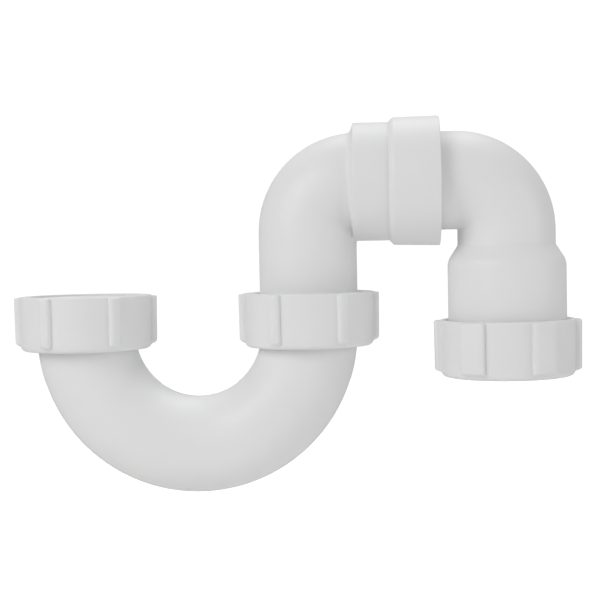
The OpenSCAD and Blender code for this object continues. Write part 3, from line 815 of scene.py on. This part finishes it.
def makeCamera():
    # Looks along +Y turned by the yaw, tilted by the pitch and rolled about its own line of sight. The
    # photo is a crop: the line of sight meets it right of its middle, so the lens is shifted.
    yaw, pitch, roll = (math.radians(view[k]) for k in ("yaw", "pitch", "roll"))
    ahead = Vector((math.sin(yaw) * math.cos(pitch), math.cos(yaw) * math.cos(pitch), math.sin(pitch)))
    right = Vector((math.cos(yaw), -math.sin(yaw), 0))
    up = right.cross(ahead)
    rolledRight = right * math.cos(roll) + up * math.sin(roll)
    rolledUp = up * math.cos(roll) - right * math.sin(roll)
    lens = bpy.data.cameras.new("camera")
    lens.sensor_fit = "HORIZONTAL"
    lens.sensor_width = view["sensor"]
    lens.lens = view["focal"] / view["frameWidth"] * view["sensor"]
    lens.shift_x = 0.5 - view["middle"] / view["frameWidth"]
    lens.clip_start, lens.clip_end = view["near"], view["far"]
    camera = bpy.data.objects.new("camera", lens)
    turned = Matrix((rolledRight, rolledUp, -ahead)).transposed()
    camera.matrix_world = Matrix.Translation(Vector(view["position"]) * mm) @ turned.to_4x4()
    bpy.context.scene.collection.objects.link(camera)
    bpy.context.scene.camera = camera


stage = {"floorDrop": 0.55, "size": 12.0, "colour": (0.88, 0.88, 0.87), "roughness": 0.9, "lift": 1.05}


def makeFloor():
    # A pale square well below the trap. Where the camera sees it, it glows as bright as the photo's
    # background.
    mesh = bpy.data.meshes.new("floor")
    half, z = stage["size"] / 2, cadBox[0].z - stage["floorDrop"]
    corners = [(-half, -half, z), (half, -half, z), (half, half, z), (-half, half, z)]
    mesh.from_pydata(corners, [], [(0, 1, 2, 3)])
    floor = bpy.data.objects.new("floor", mesh)
    bpy.context.scene.collection.objects.link(floor)
    material = bpy.data.materials.new("paleFloor")
    material.use_nodes = True
    tree = material.node_tree
    skin = tree.nodes["Principled BSDF"]
    skin.inputs["Base Color"].default_value = (*stage["colour"], 1)
    skin.inputs["Roughness"].default_value = stage["roughness"]
    skin.inputs["Emission Color"].default_value = (1, 1, 1, 1)
    lightPath = tree.nodes.new("ShaderNodeLightPath")
    lift = tree.nodes.new("ShaderNodeMath")
    lift.operation = "MULTIPLY"
    lift.inputs[1].default_value = stage["lift"]
    tree.links.new(lightPath.outputs["Is Camera Ray"], lift.inputs[0])
    tree.links.new(lift.outputs["Value"], skin.inputs["Emission Strength"])
    floor.data.materials.append(material)


lights = {"key": {"at": (-0.80, -0.85, 0.60), "size": 0.8, "power": 5.5, "colour": (1.0, 1.0, 1.0)},
          "fill": {"at": (1.05, -0.45, 0.20), "size": 0.8, "power": 1.8, "colour": (0.995, 1.0, 1.0)},
          "top": {"at": (0.10, 0.45, 1.05), "size": 0.8, "power": 3.3, "colour": (1.0, 1.0, 1.0)},
          "low": {"at": (0.00, -0.40, -0.50), "size": 0.6, "power": 0.40, "colour": (1.0, 1.0, 1.0)}}
surround = {"light": 0.49, "shown": 1.05, "colour": (1.0, 1.0, 1.0)}


def makeLights():
    # Round soft lamps that face the middle of the trap.
    middle = (cadBox[0] + cadBox[1]) / 2
    for name, light in lights.items():
        lamp = bpy.data.lights.new(name, "AREA")
        lamp.shape = "DISK"
        lamp.size = light["size"]
        lamp.energy = light["power"]
        lamp.color = light["colour"]
        item = bpy.data.objects.new(name, lamp)
        item.location = middle + Vector(light["at"])
        item.rotation_euler = (middle - item.location).to_track_quat("-Z", "Y").to_euler()
        bpy.context.scene.collection.objects.link(item)


def makeSurround():
    # An even white surround: the camera sees it brighter than it lights the trap.
    world = bpy.data.worlds.new("surround")
    world.use_nodes = True
    tree = world.node_tree
    back = tree.nodes["Background"]
    back.inputs["Color"].default_value = (*surround["colour"], 1)
    lightPath = tree.nodes.new("ShaderNodeLightPath")
    ranged = tree.nodes.new("ShaderNodeMapRange")
    ranged.inputs["To Min"].default_value = surround["light"]
    ranged.inputs["To Max"].default_value = surround["shown"]
    tree.links.new(lightPath.outputs["Is Camera Ray"], ranged.inputs["Value"])
    tree.links.new(ranged.outputs["Result"], back.inputs["Strength"])
    bpy.context.scene.world = world
    bpy.context.scene.view_settings.view_transform = "Standard"


makeCamera()
makeFloor()
makeLights()
makeSurround()
print("camera, floor and lights made")
